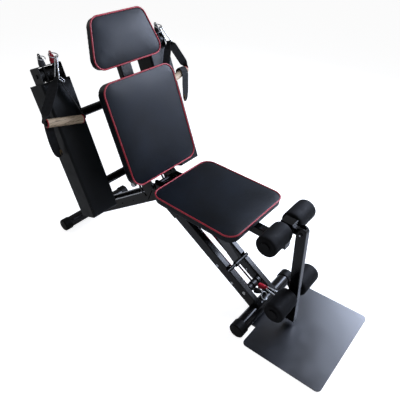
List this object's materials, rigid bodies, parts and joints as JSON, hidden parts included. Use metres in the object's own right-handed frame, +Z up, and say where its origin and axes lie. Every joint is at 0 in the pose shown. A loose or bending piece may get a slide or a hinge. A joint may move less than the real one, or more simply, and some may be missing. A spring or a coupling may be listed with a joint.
{
  "type": "roman chair",
  "caption": "Folding exercise bench with reclining padded back, head rest, foam-roller leg developer, foot plate and elastic-cord towers with hand grips.",
  "frame": {"origin": "centre of the footprint on the floor", "axes": "+X to the right of somebody sitting on the bench, +Y towards the head end, +Z up"},
  "size_m": [0.824, 1.6166, 1.1712],
  "materials": {
    "frame": "gloss",
    "cap": "matte",
    "plate": "satin",
    "steel": "satin",
    "chrome": "polished",
    "cord": "matte",
    "stopper": "matte",
    "pad": "satin",
    "board": "matte",
    "foam": "matte",
    "plastic": "matte",
    "tower": "matte",
    "webbing": "matte",
    "grip": "matte"
  },
  "bodies": {
    "main_frame": {"front_stabiliser": "frame", "front_stabiliser_caps": "cap", "foot_plate": "plate", "foot_plate_screws": "steel", "front_rail_left": "frame", "front_rail_right": "frame", "apex_plates_left": "frame", "apex_plates_right": "frame", "pivot_bolts": "steel", "front_axle": "steel", "front_cords": "cord", "front_cord_stoppers": "stopper", "front_cord_hardware": "chrome"},
    "front_pulley": {"front_pulley": "plastic"},
    "rear_leg": {"rear_leg_left": "frame", "rear_leg_right": "frame", "rear_stabiliser": "frame", "rear_stabiliser_caps": "cap", "rear_leg_braces": "frame"},
    "seat": {"seat_frame": "frame", "seat_board": "board", "seat_pad": "pad", "seat_tube_plug": "plastic", "roller_bracket": "frame", "upper_roller_shaft": "steel", "seat_bolts": "steel"},
    "strut": {"seat_strut": "frame", "hook_rod": "steel"},
    "leg_arm": {"leg_arm": "frame", "leg_arm_plug": "plastic", "lower_roller_shaft": "steel"},
    "upper_roller_left": {"upper_roller_left": "foam"},
    "upper_roller_right": {"upper_roller_right": "foam"},
    "lower_roller_left": {"lower_roller_left": "foam"},
    "lower_roller_right": {"lower_roller_right": "foam"},
    "back": {"back_frame": "frame", "back_board": "board", "back_pad": "pad", "head_board": "board", "head_pad": "pad", "tower_cross_tubes": "frame", "tower_shell_left": "tower", "tower_shell_right": "tower", "tower_rear_covers": "tower", "tower_block_left": "frame", "tower_block_right": "frame", "tower_bars": "steel", "tower_cords": "cord", "tower_stoppers": "stopper"},
    "pull_pin": {"pull_pin": "chrome"},
    "tower_pulley_left": {"tower_pulley_left": "plastic"},
    "tower_pulley_right": {"tower_pulley_right": "plastic"},
    "handle_left": {"carabiner_left": "chrome", "handle_strap_left": "webbing", "ankle_strap_left": "webbing"},
    "handle_right": {"carabiner_right": "chrome", "handle_strap_right": "webbing", "ankle_strap_right": "webbing"},
    "grip_left": {"grip_left": "grip"},
    "grip_right": {"grip_right": "grip"}
  },
  "joints": [
    {"name": "leg_fold", "type": "hinge", "parent": "main_frame", "child": "rear_leg", "pos_m": [0, 0.122, 0.432], "axis": [-1, 0, 0], "range_deg": [0, 65]},
    {"name": "back_recline", "type": "hinge", "parent": "main_frame", "child": "back", "pos_m": [0, 0.158, 0.458], "axis": [-1, 0, 0], "range_deg": [0, 49]},
    {"name": "seat_tilt", "type": "hinge", "parent": "main_frame", "child": "seat", "pos_m": [0, 0.092, 0.459], "axis": [-1, 0, 0], "range_deg": [0, 18]},
    {"name": "strut_fold", "type": "hinge", "parent": "seat", "child": "strut", "pos_m": [0, -0.02734, 0.44301], "axis": [1, 0, 0], "range_deg": [0, 13]},
    {"name": "arm_swing", "type": "hinge", "parent": "seat", "child": "leg_arm", "pos_m": [0, -0.55503, 0.496], "axis": [-1, 0, 0], "range_deg": [0, 85]},
    {"name": "front_pulley_spin", "type": "hinge", "parent": "main_frame", "child": "front_pulley", "pos_m": [0, -0.3576, 0.1057], "axis": [1, 0, 0], "continuous": true},
    {"name": "upper_roller_left_spin", "type": "hinge", "parent": "seat", "child": "upper_roller_left", "pos_m": [-0.09, -0.49103, 0.495], "axis": [1, 0, 0], "continuous": true},
    {"name": "upper_roller_right_spin", "type": "hinge", "parent": "seat", "child": "upper_roller_right", "pos_m": [0.09, -0.49103, 0.495], "axis": [1, 0, 0], "continuous": true},
    {"name": "lower_roller_left_spin", "type": "hinge", "parent": "leg_arm", "child": "lower_roller_left", "pos_m": [-0.09, -0.54703, 0.181], "axis": [1, 0, 0], "continuous": true},
    {"name": "lower_roller_right_spin", "type": "hinge", "parent": "leg_arm", "child": "lower_roller_right", "pos_m": [0.09, -0.54703, 0.181], "axis": [1, 0, 0], "continuous": true},
    {"name": "tower_pulley_left_spin", "type": "hinge", "parent": "back", "child": "tower_pulley_left", "pos_m": [-0.2865, 0.45773, 0.97886], "axis": [1, 0, 0], "continuous": true},
    {"name": "tower_pulley_right_spin", "type": "hinge", "parent": "back", "child": "tower_pulley_right", "pos_m": [0.2865, 0.45773, 0.97886], "axis": [1, 0, 0], "continuous": true},
    {"name": "handle_left_swing", "type": "hinge", "parent": "back", "child": "handle_left", "pos_m": [-0.2615, 0.45345, 1.05399], "axis": [-1, 0, 0], "range_deg": [0, 60]},
    {"name": "grip_left_spin", "type": "hinge", "parent": "handle_left", "child": "grip_left", "pos_m": [-0.3245, 0.35007, 0.8201], "axis": [-0.9772, 0.0628, 0.2029], "continuous": true},
    {"name": "handle_right_swing", "type": "hinge", "parent": "back", "child": "handle_right", "pos_m": [0.3115, 0.45345, 1.05399], "axis": [-1, 0, 0], "range_deg": [0, 60]},
    {"name": "grip_right_spin", "type": "hinge", "parent": "handle_right", "child": "grip_right", "pos_m": [0.3245, 0.35007, 0.8201], "axis": [0.9772, 0.0628, 0.2029], "continuous": true},
    {"name": "pull_pin_slide", "type": "slide", "parent": "back", "child": "pull_pin", "axis": [-1, 0, 0], "range_m": [0, 0.012], "stiffness_N_per_m": 300, "springref_m": -0.008}
  ],
  "couplings": [
    {"joint": "strut_fold", "follows": "seat_tilt", "ratio": 0.7}
  ]
}
